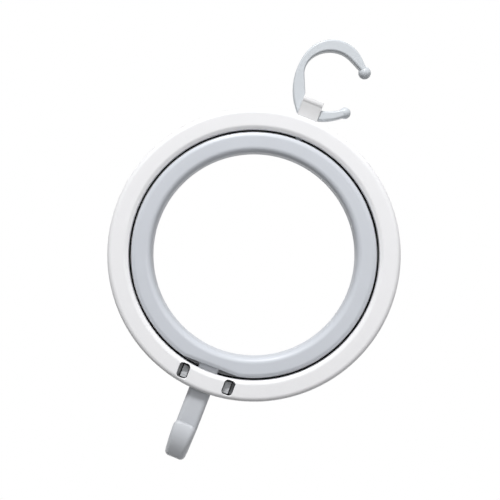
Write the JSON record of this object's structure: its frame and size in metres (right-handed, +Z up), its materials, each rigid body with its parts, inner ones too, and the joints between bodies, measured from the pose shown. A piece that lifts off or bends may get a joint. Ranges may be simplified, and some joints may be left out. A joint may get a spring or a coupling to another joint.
{
  "type": "folding hat-drying hanger",
  "caption": "Folding hat-drying hanger: an inner ring turns inside an outer ring to hold a hat open, under a folding C-shaped hanging hook and over a curled tail hook.",
  "frame": {"origin": "inside of the hanging hook on the rings' turning axis, where a rod carries the hanger", "axes": "+Z up along the turning axis of the inner ring, front of the rings towards -Y, mouth of the hanging hook towards +X"},
  "size_m": [0.165, 0.0222, 0.253],
  "materials": {
    "white_plastic": "moulded white polypropylene, satin gloss",
    "ring_grey_plastic": "moulded pale blue-grey polypropylene, satin gloss",
    "hook_grey_plastic": "moulded pale grey polypropylene, satin gloss",
    "pin_grey_plastic": "moulded grey acetal, smooth"
  },
  "bodies": {
    "hanging_hook_body": {"hanging_hook": "hook_grey_plastic"},
    "outer_frame": {"outer_ring_front": "white_plastic", "outer_ring_back": "white_plastic", "hook_saddle": "white_plastic", "tail_hook": "hook_grey_plastic", "upper_pivot_pin": "pin_grey_plastic"},
    "inner_ring": {"inner_ring_front": "ring_grey_plastic", "inner_ring_back": "ring_grey_plastic"}
  },
  "joints": [
    {"name": "hook_fold", "type": "hinge", "parent": "hanging_hook_body", "child": "outer_frame", "pos_m": [0, 0, -0.03656], "axis": [1, 0, 0], "range_deg": [-90, 90]},
    {"name": "ring_turn", "type": "hinge", "parent": "outer_frame", "child": "inner_ring", "pos_m": [0, 0, -0.12356], "axis": [0, 0, 1], "continuous": true}
  ]
}
